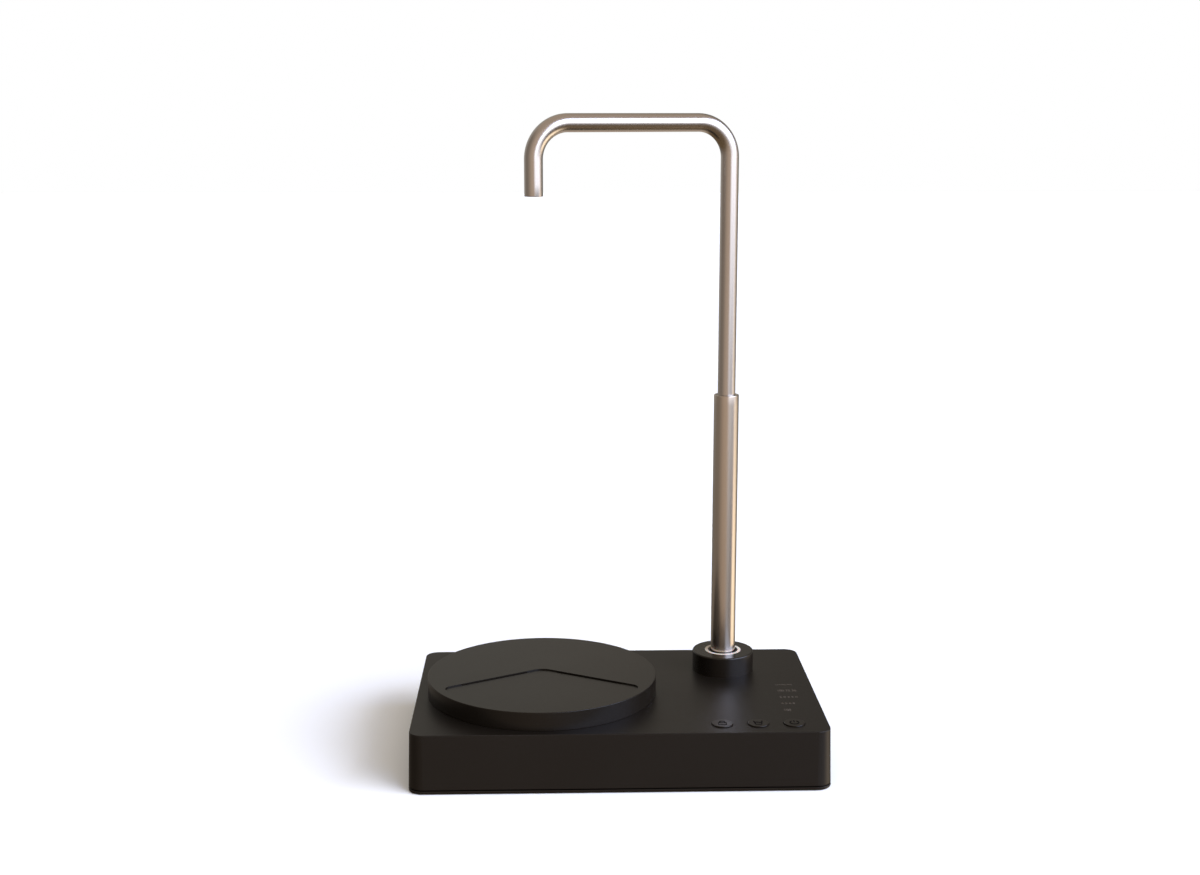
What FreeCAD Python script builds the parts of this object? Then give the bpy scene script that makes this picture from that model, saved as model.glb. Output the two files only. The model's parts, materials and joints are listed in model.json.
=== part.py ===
"""Countertop water dispenser: a low base with a drip tray, three buttons and a swivelling,
telescopic steel spout, with its pump, cells and boards inside.

Millimetres, +Z up. The origin is on the table, under the middle of the base.
+X points to the column's side of the base, -Y to the user's side.
"""
import FreeCAD, Part
import math
import os

V = FreeCAD.Vector
UP = V(0, 0, 1)

# ---------------------------------------------------------------- driving dimensions
BASE_W, BASE_D = 200.0, 124.4          # top outline of the base
BASE_TOP = 29.3                        # height of the base's top face
DRAFT = 0.8                            # how much wider each side is at the bottom
CORNER_R = 6.5                         # vertical corners of the base
TOP_EDGE_R = 0.3                       # rounded rim of the top face
WALL, ROOF = 2.2, 2.5                  # housing side walls and top wall
FOOT_PROUD = 0.2                       # how far the rubber feet stand out below
COVER_T = 1.5                          # visible edge of the bottom cover
SEAM = 0.5                             # gap between the cover and the housing

TRAY_X, TRAY_Y = -37.4, -0.4           # drip tray centre
TRAY_R, TRAY_H = 57.45, 9.2            # tray disc, height above the base
TRAY_WALL, TRAY_ROOF = 2.0, 2.2
RECESS_DEPTH, RECESS_RIM = 0.6, 4.5    # sunk sector in the front of the tray
RECESS_APEX_Y, RECESS_SLOPE = 7.4, 30.0
SPIGOT_R, SPIGOT_H = 40.0, 1.0         # round boss that locates the tray

COL_X, COL_Y = 57.26, 31.35            # column axis
COLLAR_R, COLLAR_H = 15.85, 10.36
LOWER_R, LOWER_BORE = 6.35, 5.55       # 12.7 mm lower tube
LOWER_TOP = 175.3
LIP_H, LIP_R = 1.0, 0.45               # turned-in lip at the lower tube's top, its outer radius
UPPER_R, UPPER_BORE = 4.5, 3.7         # 9 mm upper tube
GUIDE_L, PISTON_L = 30.0, 6.0          # guide bush, and the piston's grip on the upper tube
ARM_Z, ARM_REACH, BEND_R = 311.5, 102.4, 17.2
TIP_Z = 276.9
SWIVEL_TRAVEL = 90.0                   # degrees to each side
RUN_FIT = 0.05                         # radial clearance of a running fit

BUTTON_X = (48.95, 66.2, 83.5)
BUTTON_Y, BUTTON_R = -50.7, 5.0
BUTTON_PROUD, BUTTON_GAP = 0.55, 0.3

INLET_X, INLET_Z = 20.0, 14.4          # water inlet in the rear wall
USB_X, USB_Z = -70.0, 11.3             # charging socket in the rear wall
PUMP_Y, PUMP_Z = 30.0, 14.4            # motor axis, along X
PUMP_HEAD_X0, PUMP_HEAD_X1 = -30.0, -10.0
MOTOR_X0 = -62.0
CELL_R, CELL_L = 9.2, 65.0
CELL_Y = (-12.0, -32.0)
CELL_X0, CELL_Z = -62.0, 13.2
BOARD_Z, BOARD_T = 16.0, 1.6           # control board under the buttons
HOSE_R, HOSE_BORE, BARB_R = 3.0, 2.0, 1.95
LEAD_R = 1.0

# ---------------------------------------------------------------- derived levels
COVER_Z0 = FOOT_PROUD
COVER_Z1 = COVER_Z0 + COVER_T
HOUSE_Z0 = COVER_Z1 + SEAM
CEILING = BASE_TOP - ROOF
TRAY_TOP = BASE_TOP + TRAY_H
COLLAR_TOP = BASE_TOP + COLLAR_H
GUIDE_TOP = LOWER_TOP - LIP_H - 0.2
UPPER_FOOT = GUIDE_TOP - GUIDE_L - 0.3 - PISTON_L   # lower end of the upper tube, extended
SCREW_X, SCREW_Y = BASE_W / 2 - 7.5, BASE_D / 2 - 7.5
FOOT_X, FOOT_Y = BASE_W / 2 - 20, BASE_D / 2 - 20
ARM_ANGLE = math.atan2(TRAY_Y - COL_Y, TRAY_X - COL_X)
TIP_X = COL_X + ARM_REACH * math.cos(ARM_ANGLE)
TIP_Y = COL_Y + ARM_REACH * math.sin(ARM_ANGLE)
COL = V(COL_X, COL_Y, 0)

NODES = {}


# ---------------------------------------------------------------- small helpers
def cyl(r, z0, z1, x=0.0, y=0.0):
    return Part.makeCylinder(r, z1 - z0, V(x, y, z0), UP)


def ring(r_out, r_in, z0, z1, x=0.0, y=0.0):
    return cyl(r_out, z0, z1, x, y).cut(cyl(r_in, z0 - 1, z1 + 1, x, y))


def block(x0, x1, y0, y1, z0, z1):
    return Part.makeBox(x1 - x0, y1 - y0, z1 - z0, V(x0, y0, z0))


def rod_x(r, x0, x1, y, z):
    return Part.makeCylinder(r, x1 - x0, V(x0, y, z), V(1, 0, 0))


def rod_y(r, y0, y1, x, z):
    return Part.makeCylinder(r, y1 - y0, V(x, y0, z), V(0, 1, 0))


def join(*shapes):
    return shapes[0].multiFuse(list(shapes[1:])).removeSplitter()


def flat_edges(shape, z):
    """Edges that lie at one height."""
    return [e for e in shape.Edges
            if abs(e.BoundBox.ZMin - z) < 1e-4 and abs(e.BoundBox.ZMax - z) < 1e-4]


def upright_edges(shape):
    return [e for e in shape.Edges if e.BoundBox.ZLength > 1e-3
            and e.BoundBox.XLength < 1e-4 and e.BoundBox.YLength < 1e-4]


def rounded_wire(w, d, r, z):
    """Rounded rectangle, w by d, with corner radius r, at height z."""
    hx, hy, s = w / 2, d / 2, r * (1 - math.sqrt(0.5))
    edges = []
    for sx, sy in ((1, 1), (-1, 1), (-1, -1), (1, -1)):
        on_x = V(sx * hx, sy * (hy - r), z)
        on_y = V(sx * (hx - r), sy * hy, z)
        middle = V(sx * (hx - s), sy * (hy - s), z)
        first, last = (on_x, on_y) if sx * sy > 0 else (on_y, on_x)
        if edges:
            edges.append(Part.LineSegment(edges[-1].Vertexes[-1].Point, first).toShape())
        edges.append(Part.Arc(first, middle, last).toShape())
    edges.append(Part.LineSegment(edges[-1].Vertexes[-1].Point, edges[0].Vertexes[0].Point).toShape())
    return Part.Wire(edges)


def side_offset(z):
    """How far the drafted side stands out beyond the top outline at height z."""
    return DRAFT * (BASE_TOP - z) / (BASE_TOP - COVER_Z0)


def base_prism(z0, z1, inset):
    """The base's drafted outline between two heights, moved in by inset."""
    wires = []
    for z in (z0, z1):
        grow = side_offset(z) - inset
        wires.append(rounded_wire(BASE_W + 2 * grow, BASE_D + 2 * grow, CORNER_R + grow, z))
    return Part.makeLoft(wires, True, True)


def rounded_path(points, bend):
    """Straight runs joined by tangent arcs of radius bend."""
    edges, start = [], points[0]
    for before, corner, after in zip(points, points[1:], points[2:]):
        a = (before - corner).normalize()
        b = (after - corner).normalize()
        half = a.getAngle(b) / 2
        reach = bend / math.tan(half)
        enter, leave = corner + a * reach, corner + b * reach
        bisector = (a + b).normalize()
        top = corner + bisector * (bend / math.sin(half) - bend)
        edges.append(Part.LineSegment(start, enter).toShape())
        edges.append(Part.Arc(enter, top, leave).toShape())
        start = leave
    edges.append(Part.LineSegment(start, points[-1]).toShape())
    return Part.Wire(edges)


def pipe(points, bend, r):
    """Round bar of radius r along a rounded path."""
    path = rounded_path(points, bend)
    circle = Part.makeCircle(r, points[0], points[1] - points[0])
    bar = path.makePipeShell([Part.Wire([circle])], True, True)
    expected = math.pi * r * r * path.Length
    assert abs(bar.Volume / expected - 1) < 0.01, "the swept bar has lost volume"
    return bar


def at_column(shape):
    return shape.translated(COL)


def around(count, radius, x, y, start=0.0):
    """Points evenly spaced on a circle."""
    angles = [math.radians(start + 360.0 * i / count) for i in range(count)]
    return [(x + radius * math.cos(a), y + radius * math.sin(a)) for a in angles]


def corners(x, y):
    return [(sx * x, sy * y) for sx in (-1, 1) for sy in (-1, 1)]


def wedge(r_in, r_out, z0, z1, start, sweep):
    """Sector of a ring, angles in degrees."""
    outer = Part.makeCylinder(r_out, z1 - z0, V(0, 0, z0), UP, sweep)
    sector = outer.cut(cyl(r_in, z0 - 1, z1 + 1))
    sector.rotate(V(0, 0, 0), UP, start)
    return sector


def screw(x, y, z_head, length, r=1.2, head_r=2.3, head_h=1.4, up=True):
    """Pan-head screw with a cross slot; its head is at z_head and its shank goes up or down."""
    body = join(cyl(head_r, 0, head_h), cyl(r, head_h, head_h + length))
    slots = [block(-1.2, 1.2, -0.25, 0.25, -1, 0.6), block(-0.25, 0.25, -1.2, 1.2, -1, 0.6)]
    body = body.cut(join(*slots))
    if not up:
        body.rotate(V(0, 0, 0), V(1, 0, 0), 180)
    return body.translated(V(x, y, z_head))


def save(name, shape):
    parts = shape if isinstance(shape, list) else [shape]
    solids = [s for p in parts for s in p.Solids]
    NODES[name] = solids[0] if len(solids) == 1 else Part.makeCompound(solids)
    NODES[name].exportStep("parts/" + name + ".step")


# ---------------------------------------------------------------- base
def top_housing():
    shell = base_prism(HOUSE_Z0, BASE_TOP, 0)
    shell = shell.makeFillet(TOP_EDGE_R, flat_edges(shell, BASE_TOP))
    shell = shell.makeChamfer(0.3, flat_edges(shell, HOUSE_Z0))
    shell = shell.cut(base_prism(HOUSE_Z0 - 0.01, CEILING, WALL))
    pillars = [cyl(3.0, COVER_Z1 + 1.6, CEILING + 0.5, x, y) for x, y in corners(SCREW_X, SCREW_Y)]
    pillars += [cyl(2.6, BOARD_Z + BOARD_T, CEILING + 0.5, x, y) for x, y in board_pillars()]
    shell = join(shell, *pillars)
    holes = [cyl(1.25, 0, 14, x, y) for x, y in corners(SCREW_X, SCREW_Y)]
    holes += [cyl(0.95, 0, 22, x, y) for x, y in board_pillars()]
    holes += [cyl(BUTTON_R + BUTTON_GAP, CEILING - 1, BASE_TOP + 1, x, BUTTON_Y) for x in BUTTON_X]
    holes += [cyl(1.35, CEILING - 1, BASE_TOP + 1, x, y) for x, y in collar_screw_points(COL)]
    holes.append(cyl(7.25, CEILING - 1, BASE_TOP + 1, COL_X, COL_Y))
    holes.append(cyl(1.4, CEILING - 1, BASE_TOP + 1, COL_X, COL_Y - RING_LEAD_R))
    holes.append(cyl(SPIGOT_R + 0.3, BASE_TOP - SPIGOT_H - 0.2, BASE_TOP + 1, TRAY_X, TRAY_Y))
    holes.append(rod_y(6.1, 50, 70, INLET_X, INLET_Z))
    slot = join(block(USB_X - 3, USB_X + 3, 50, 70, USB_Z - 1.8, USB_Z + 1.8),
                rod_y(1.8, 50, 70, USB_X - 3, USB_Z), rod_y(1.8, 50, 70, USB_X + 3, USB_Z))
    holes.append(slot)
    return shell.cut(join(*holes))


def bottom_cover():
    plate = base_prism(COVER_Z0, COVER_Z1, 0)
    plate = plate.makeFillet(0.7, flat_edges(plate, COVER_Z0))
    plate = plate.makeChamfer(0.3, flat_edges(plate, COVER_Z1))
    lip = base_prism(COVER_Z1 - 0.2, COVER_Z1 + 2.5, WALL + 0.25)
    lip = lip.cut(base_prism(COVER_Z1 - 0.3, COVER_Z1 + 2.6, WALL + 1.45))
    bosses = [cyl(2.9, COVER_Z1 - 0.2, COVER_Z1 + 1.4, x, y) for x, y in corners(SCREW_X, SCREW_Y)]
    posts = [cyl(2.2, COVER_Z1 - 0.2, 3.4, x, y) for x, y in clamp_points()]
    posts += [cyl(2.2, COVER_Z1 - 0.2, 8.0, x, y) for x, y in charge_points()]
    plate = join(plate, lip, *bosses, *posts)
    cuts = [cyl(2.6, 0, COVER_Z1 + 0.1, x, y) for x, y in corners(SCREW_X, SCREW_Y)]
    cuts += [cyl(1.35, 0, 10, x, y) for x, y in corners(SCREW_X, SCREW_Y)]
    cuts += [cyl(6.15, 0, COVER_Z0 + 0.6, x, y) for x, y in corners(FOOT_X, FOOT_Y)]
    cuts += [cyl(0.95, COVER_Z1 - 0.3, 10, x, y) for x, y in clamp_points() + charge_points()]
    return plate.cut(join(*cuts))


def base():
    save("top_housing", top_housing())
    save("bottom_cover", bottom_cover())
    sides = ("left", "left", "right", "right")
    ends = ("front", "rear", "front", "rear")
    for (x, y), side, end in zip(corners(FOOT_X, FOOT_Y), sides, ends):
        foot = cyl(6.0, 0, COVER_Z0 + 0.6, x, y)
        foot = foot.makeFillet(0.3, flat_edges(foot, 0))
        save("foot_" + end + "_" + side, foot)
    save("cover_screws", [screw(x, y, COVER_Z1 - 1.4, 8) for x, y in corners(SCREW_X, SCREW_Y)])


# ---------------------------------------------------------------- drip tray
def recess_outline(z0, z1, rim):
    """Sunk sector: a wide V behind, an arc in front, all corners rounded."""
    slope = math.tan(math.radians(RECESS_SLOPE))
    far = 2 * TRAY_R
    v_edge = Part.makePolygon([V(0, RECESS_APEX_Y, z0), V(far, RECESS_APEX_Y - far * slope, z0),
                               V(0, -2 * far, z0), V(-far, RECESS_APEX_Y - far * slope, z0),
                               V(0, RECESS_APEX_Y, z0)])
    sector = Part.Face(v_edge).extrude(V(0, 0, z1 - z0)).common(cyl(TRAY_R - rim, z0, z1))
    apex = [e for e in upright_edges(sector) if abs(e.Vertexes[0].X) < 0.1]
    sector = sector.makeFillet(8.0, apex)
    tips = [e for e in upright_edges(sector) if abs(e.Vertexes[0].X) > 40]
    return sector.makeFillet(4.5, tips)


def tray_cover():
    cover = cyl(TRAY_R, BASE_TOP, TRAY_TOP)
    cover = cover.makeFillet(0.3, flat_edges(cover, TRAY_TOP))
    cover = cover.makeChamfer(0.15, flat_edges(cover, BASE_TOP))
    cover = cover.cut(cyl(TRAY_R - TRAY_WALL, BASE_TOP - 1, TRAY_TOP - TRAY_ROOF))
    cover = cover.cut(recess_outline(TRAY_TOP - RECESS_DEPTH, TRAY_TOP + 1, RECESS_RIM))
    for side in (-1, 1):
        drain = block(9, 46, -1.2, 0, TRAY_TOP - 4, TRAY_TOP - 0.5)
        drain.rotate(V(0, 0, 0), UP, -RECESS_SLOPE)
        drain.translate(V(0, RECESS_APEX_Y, 0))
        if side < 0:
            drain = drain.mirror(V(0, 0, 0), V(1, 0, 0))
        cover = cover.cut(drain)
    return cover.translated(V(TRAY_X, TRAY_Y, 0))


def tray_dish():
    r_out, wall, floor = TRAY_R - TRAY_WALL - 0.4, 1.4, 1.2
    dish = cyl(r_out, BASE_TOP, TRAY_TOP - TRAY_ROOF - 0.3)
    dish = dish.cut(cyl(r_out - wall, BASE_TOP + floor, TRAY_TOP))
    spigot = ring(SPIGOT_R, SPIGOT_R - 2.0, BASE_TOP - SPIGOT_H, BASE_TOP + 0.5)
    return join(dish, spigot).translated(V(TRAY_X, TRAY_Y, 0))


# ---------------------------------------------------------------- column and spout
RING_LEAD_R = 13.0                     # the light's lead drops this far from the column's axis


def collar_screw_points(centre):
    return around(3, 13.3, centre.x, centre.y, 90)


def column_collar():
    collar = cyl(COLLAR_R, BASE_TOP, COLLAR_TOP)
    collar = collar.makeFillet(0.7, flat_edges(collar, COLLAR_TOP))
    collar = collar.cut(cyl(7.2, BASE_TOP - 1, BASE_TOP + 7.2))
    collar = collar.cut(cyl(6.85, BASE_TOP - 1, COLLAR_TOP + 1))
    collar = collar.cut(ring(10.6, 7.95, BASE_TOP - 1, COLLAR_TOP - 2.2))
    collar = collar.cut(ring(9.4, 7.75, COLLAR_TOP - 2.3, COLLAR_TOP + 1))
    collar = collar.cut(block(-1.8, 1.8, -14.5, -9, BASE_TOP - 1, BASE_TOP + 5.4))
    collar = at_column(collar)
    for x, y in collar_screw_points(COL):
        collar = collar.cut(cyl(1.25, BASE_TOP - 1, BASE_TOP + 7, x, y))
    return collar


def ring_light():
    diffuser = join(ring(9.35, 8.0, COLLAR_TOP - 3.4, COLLAR_TOP),
                    ring(9.35, 7.8, COLLAR_TOP - 2.2, COLLAR_TOP),
                    ring(10.5, 8.0, COLLAR_TOP - 3.4, COLLAR_TOP - 2.3))
    save("light_ring", at_column(diffuser))
    tab = block(-1.6, 1.6, -14.2, -9.5, BASE_TOP + 4.2, BASE_TOP + 5.2)
    board = join(ring(10.4, 8.1, BASE_TOP + 4.2, BASE_TOP + 5.2), tab)
    save("ring_led_board", at_column(board))
    leds = [block(x - 0.8, x + 0.8, y - 0.8, y + 0.8, BASE_TOP + 5.2, BASE_TOP + 6.1)
            for x, y in around(6, 9.25, COL_X, COL_Y)]
    save("ring_leds", leds)


STOP_Z0, STOP_Z1 = 16.8, 19.3          # pocket of the swivel stop
SEAL_BORE = 8.6
LUG_SWEEP = 20.0


def swivel_housing():
    """Cup that holds the column's foot: a sealed bore, a stop pocket and a side barb."""
    cup = join(cyl(11.4, 4.5, CEILING), cyl(15.6, CEILING - 2.0, CEILING))
    barb = join(rod_x(BARB_R, -19.5, -10.0, 0, 8.5), rod_x(3.2, -12.4, -10.0, 0, 8.5))
    cup = join(cup, barb)
    cup = cup.cut(cyl(SEAL_BORE, 6.5, CEILING + 1))
    cup = cup.cut(cyl(10.2, STOP_Z1, CEILING + 1))
    lug_middle = math.degrees(ARM_ANGLE)
    free = 2 * SWIVEL_TRAVEL + LUG_SWEEP + 4
    cup = cup.cut(wedge(5, 10.2, STOP_Z0, STOP_Z1 + 0.1, lug_middle - free / 2, free))
    cup = cup.cut(rod_x(1.2, -20, -5, 0, 8.5))
    cup = cup.cut(cyl(1.4, CEILING - 3, CEILING + 1, 0, -RING_LEAD_R))
    for x, y in collar_screw_points(V(0, 0, 0)):
        cup = cup.cut(cyl(1.35, CEILING - 3, CEILING + 1, x, y))
    return at_column(cup)


def column():
    save("column_collar", column_collar())
    ring_light()
    save("swivel_housing", swivel_housing())
    bush = join(ring(7.15, LOWER_R + RUN_FIT, CEILING - 1.6, BASE_TOP + 7),
                ring(10.0, LOWER_R + RUN_FIT, CEILING - 1.6, CEILING),
                ring(10.0, 8.8, STOP_Z1 + 1.4, CEILING))
    save("column_bush", at_column(bush))
    save("column_retainer", at_column(ring(10.0, 6.75, STOP_Z1, STOP_Z1 + 1.4)))
    save("collar_screws", [screw(x, y, CEILING - 3.4, 8.0, head_r=1.8) for x, y in collar_screw_points(COL)])

    tube = cyl(LOWER_R, 11.5, LOWER_TOP)
    tube = tube.makeFillet(LIP_R, flat_edges(tube, LOWER_TOP))
    tube = tube.cut(cyl(LOWER_BORE, 11, LOWER_TOP - LIP_H))
    save("lower_tube", at_column(tube.cut(cyl(UPPER_R + 0.1, 11, LOWER_TOP + 1))))
    foot = ring(8.3, LOWER_R, 10.5, 17.0)
    foot = join(foot, ring(8.3, 4.2, 10.3, 11.5), ring(8.3, LOWER_R, 17.0, 19.0),
                wedge(LOWER_R + 1, 9.9, 17.1, 19.0, math.degrees(ARM_ANGLE) - LUG_SWEEP / 2, LUG_SWEEP))
    seal_levels = (12.4, 14.8)
    for z in seal_levels:
        foot = foot.cut(ring(9, 7.2, z, z + 1.6))
    save("column_foot", at_column(foot))
    save("column_seals", [at_column(ring(SEAL_BORE - RUN_FIT, 7.25, z + 0.1, z + 1.5)) for z in seal_levels])
    guide = ring(LOWER_BORE - 0.02, UPPER_R + RUN_FIT, GUIDE_TOP - GUIDE_L, GUIDE_TOP)
    save("guide_bush", at_column(guide))


def spout():
    corner_a, corner_b = V(COL_X, COL_Y, ARM_Z), V(TIP_X, TIP_Y, ARM_Z)
    foot, tip = V(COL_X, COL_Y, UPPER_FOOT), V(TIP_X, TIP_Y, TIP_Z)
    outer = pipe([foot, corner_a, corner_b, tip], BEND_R, UPPER_R)
    inner = pipe([foot - UP, corner_a, corner_b, tip - UP], BEND_R, UPPER_BORE)
    tube = outer.cut(inner)
    save("upper_tube", tube)
    piston = ring(LOWER_BORE - RUN_FIT, UPPER_BORE, UPPER_FOOT - 4, UPPER_FOOT + PISTON_L)
    piston = piston.cut(cyl(UPPER_R, UPPER_FOOT, UPPER_FOOT + PISTON_L + 1))
    piston = piston.cut(ring(6, LOWER_BORE - 0.8, UPPER_FOOT - 3.0, UPPER_FOOT - 1.2))
    save("slide_piston", at_column(piston))
    seal = ring(LOWER_BORE - 0.02, LOWER_BORE - 0.78, UPPER_FOOT - 2.9, UPPER_FOOT - 1.3)
    save("piston_seal", at_column(seal))
    screen = cyl(UPPER_BORE - 0.02, TIP_Z + 1.5, TIP_Z + 7.5, TIP_X, TIP_Y)
    channels = [cyl(0.55, TIP_Z, TIP_Z + 9, x, y)
                for count, radius in ((1, 0.0), (6, 1.4), (12, 2.85))
                for x, y in around(count, radius, TIP_X, TIP_Y)]
    save("outlet_screen", screen.cut(join(*channels)))


# ---------------------------------------------------------------- buttons and control board
def board_pillars():
    return [(42.0, -38.0), (78.0, -38.0)]


def buttons():
    for x, name in zip(BUTTON_X, ("lock", "cup", "power")):
        cap = join(cyl(BUTTON_R, CEILING - 0.5, BASE_TOP + BUTTON_PROUD, x, BUTTON_Y),
                   cyl(BUTTON_R + 0.9, CEILING - 1.4, CEILING - 0.4, x, BUTTON_Y),
                   cyl(1.5, BOARD_Z + BOARD_T + 2.7, CEILING - 1.4, x, BUTTON_Y))
        cap = cap.makeFillet(0.3, flat_edges(cap, BASE_TOP + BUTTON_PROUD))
        save("key_" + name, cap)


def electronics():
    board = block(36, 89, -58, -34, BOARD_Z, BOARD_Z + BOARD_T)
    for x, y in board_pillars():
        board = board.cut(cyl(1.1, BOARD_Z - 1, BOARD_Z + 3, x, y))
    save("control_board", board)
    top = BOARD_Z + BOARD_T
    switches = [join(block(x - 3, x + 3, BUTTON_Y - 3, BUTTON_Y + 3, top, top + 1.5),
                     cyl(1.5, top + 1.5, top + 2.0, x, BUTTON_Y)) for x in BUTTON_X]
    save("tact_switches", switches)
    chips = [block(72, 79, -54, -47, BOARD_Z - 1.2, BOARD_Z), block(49, 53, -54, -50, BOARD_Z - 1.0, BOARD_Z),
             cyl(3.0, BOARD_Z - 7, BOARD_Z, 84, -53)]
    plugs = [block(x, x + 7, y, y + 5, BOARD_Z - 5.0, BOARD_Z)
             for x, y in ((38, -48), (38, -56), (54, -41), (66, -41))]
    save("board_components", chips + plugs)
    save("buzzer", cyl(5.5, BOARD_Z - 6, BOARD_Z, 61, -50).cut(cyl(1.0, BOARD_Z - 7, BOARD_Z - 4, 61, -50)))
    save("board_screws", [screw(x, y, BOARD_Z - 1.2, 5.0, 0.9, 1.8, 1.2) for x, y in board_pillars()])


def charge_points():
    return [(USB_X - 8.0, 47.0), (USB_X + 8.0, 47.0)]


def charging():
    board = block(USB_X - 11, USB_X + 11, 40, 59, 8.0, 9.6)
    for x, y in charge_points():
        board = board.cut(cyl(1.1, 7, 11, x, y))
    save("charge_board", board)
    shell = join(block(USB_X - 2.9, USB_X + 2.9, 54.5, 61.8, USB_Z - 1.6, USB_Z + 1.6),
                 rod_y(1.6, 54.5, 61.8, USB_X - 2.9, USB_Z), rod_y(1.6, 54.5, 61.8, USB_X + 2.9, USB_Z))
    mouth = join(block(USB_X - 2.9, USB_X + 2.9, 56, 63, USB_Z - 1.3, USB_Z + 1.3),
                 rod_y(1.3, 56, 63, USB_X - 2.9, USB_Z), rod_y(1.3, 56, 63, USB_X + 2.9, USB_Z))
    tongue = block(USB_X - 3.3, USB_X + 3.3, 55.5, 61.0, USB_Z - 0.35, USB_Z + 0.35)
    save("usb_socket", join(shell.cut(mouth), tongue))
    save("charge_screws", [screw(x, y, 9.6 + 1.2, 5.0, 0.9, 1.8, 1.2, up=False) for x, y in charge_points()])


# ---------------------------------------------------------------- cells
def cells():
    x1 = CELL_X0 + CELL_L
    y0, y1 = CELL_Y[1] - CELL_R - 1.6, CELL_Y[0] + CELL_R + 1.6
    tray = block(CELL_X0 - 4, x1 + 4, y0, y1, COVER_Z1, 13.5)
    for y in CELL_Y:
        tray = tray.cut(rod_x(CELL_R + 0.1, CELL_X0 - 2.4, x1 + 2.4, y, CELL_Z))
    save("battery_tray", tray)
    strips = []
    for y, name in zip(CELL_Y, ("a", "b")):
        cell = join(rod_x(CELL_R, CELL_X0 + 0.6, x1 - 1.2, y, CELL_Z), rod_x(2.8, x1 - 1.2, x1, y, CELL_Z))
        save("battery_cell_" + name, cell)
        strips.append(block(x1 + 0.1, x1 + 0.6, y - 4, y + 4, 8, 18))
    strips.append(block(CELL_X0, CELL_X0 + 0.5, CELL_Y[1] - 5, CELL_Y[0] + 5, 14, 18))
    save("battery_contacts", strips)


# ---------------------------------------------------------------- pump and water path
def clamp_points():
    return [(-46.0, PUMP_Y - 14.5), (-46.0, PUMP_Y + 14.5)]


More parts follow.
